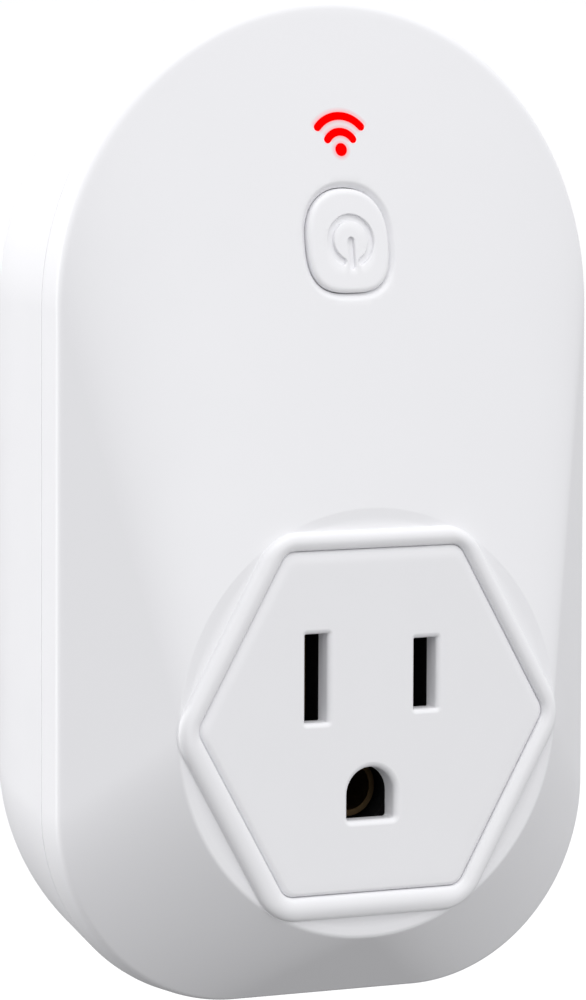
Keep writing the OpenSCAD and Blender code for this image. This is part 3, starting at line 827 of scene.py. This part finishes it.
def camera():
    yaw, elevation, roll, distance = math.radians(29.09), math.radians(5.0), math.radians(0.24), 0.6255
    target = Vector((-9.285, FACE_Y, 18.218)) * MM
    flat = math.cos(elevation)
    back = Vector((-math.sin(yaw) * flat, -math.cos(yaw) * flat, math.sin(elevation)))
    data = bpy.data.cameras.new("camera")
    data.sensor_width = 36.0
    data.lens = 224.4
    data.clip_start, data.clip_end = 0.1, 200.0
    obj = bpy.data.objects.new("camera", data)
    bpy.context.scene.collection.objects.link(obj)
    obj.location = target + back * distance
    obj.rotation_mode = "QUATERNION"
    obj.rotation_quaternion = (-back).to_track_quat("-Z", "Y") @ Quaternion((0, 0, 1), roll)
    bpy.context.scene.camera = obj


def world():
    """A plain studio: bright above, darker below, a little brighter on the left."""
    studio = bpy.data.worlds.new("studio")
    studio.use_nodes = True
    tree = studio.node_tree
    background = tree.nodes["Background"]
    split = tree.nodes.new("ShaderNodeSeparateXYZ")
    link(tree, tree.nodes.new("ShaderNodeTexCoord").outputs["Generated"], split.inputs["Vector"])
    height = tree.nodes.new("ShaderNodeValToRGB")
    link(tree, ramp(tree, split.outputs["Z"], -1, 1, 0, 1), height.inputs["Fac"])
    levels = height.color_ramp
    levels.interpolation = "EASE"
    stops = [(0.0, 0.11), (0.42, 0.24), (0.52, 0.80), (0.70, 1.0)]
    levels.elements[0].position, levels.elements[1].position = stops[0][0], 1.0
    for position, _ in stops[1:]:
        levels.elements.new(position)
    for element, (_, level) in zip(levels.elements, stops + [(1.0, 1.0)]):
        element.color = (level, level, level * 1.01, 1)
    link(tree, height.outputs["Color"], background.inputs["Color"])
    side = ramp(tree, split.outputs["X"], -1, 1, 1.09, 1.06)
    link(tree, side, background.inputs["Strength"])
    bpy.context.scene.world = studio


def area_light(name, place_at, look_at, size, power):
    """A rectangular light at place_at, turned towards look_at; metres and watts."""
    data = bpy.data.lights.new(name, "AREA")
    data.shape = "RECTANGLE"
    data.size, data.size_y = size
    data.energy = power
    obj = bpy.data.objects.new(name, data)
    bpy.context.scene.collection.objects.link(obj)
    obj.location = place_at
    obj.rotation_euler = (Vector(look_at) - Vector(place_at)).to_track_quat("-Z", "Y").to_euler()


def floor():
    """A plain pale floor, seen but kept from lighting the object, which is lit by the studio alone."""
    half, low = 60.0, -0.22
    mesh = bpy.data.meshes.new("floor")
    corners = [(-half, -half, low), (half, -half, low), (half, half, low), (-half, half, low)]
    mesh.from_pydata(corners, [], [(0, 1, 2, 3)])
    obj = bpy.data.objects.new("floor", mesh)
    bpy.context.scene.collection.objects.link(obj)
    white = (0.95, 0.95, 0.95)
    mesh.materials.append(speckled("floor_white", white, 0.004, (0.8, 0.9), 5.0, 0.1, patch_mm=400))
    obj.visible_diffuse = False
    obj.visible_glossy = False
    obj.visible_shadow = False


def studio():
    """A soft key above, a side light behind the left wall, a front fill and a weak light from below."""
    world()
    floor()
    area_light("key", (-0.3, -0.7, 1.5), (0, 0, 0.02), (0.9, 0.9), 5.0)
    area_light("side", (-1.1, 0.8, 0.1), (0, 0, 0.0), (0.5, 1.2), 9.0)
    area_light("front", (0.2, -1.55, 0.0), (0, 0, 0.02), (0.8, 0.8), 3.6)
    area_light("low", (0.75, -0.3, -1.05), (0, 0, 0.0), (0.5, 0.5), 1.7)


camera()
studio()
front_cover()
rear_cover()
receptacle_face()
button_cap()
lit_icon()
dress_cad_nodes()
bpy.context.scene.view_settings.view_transform = "Standard"
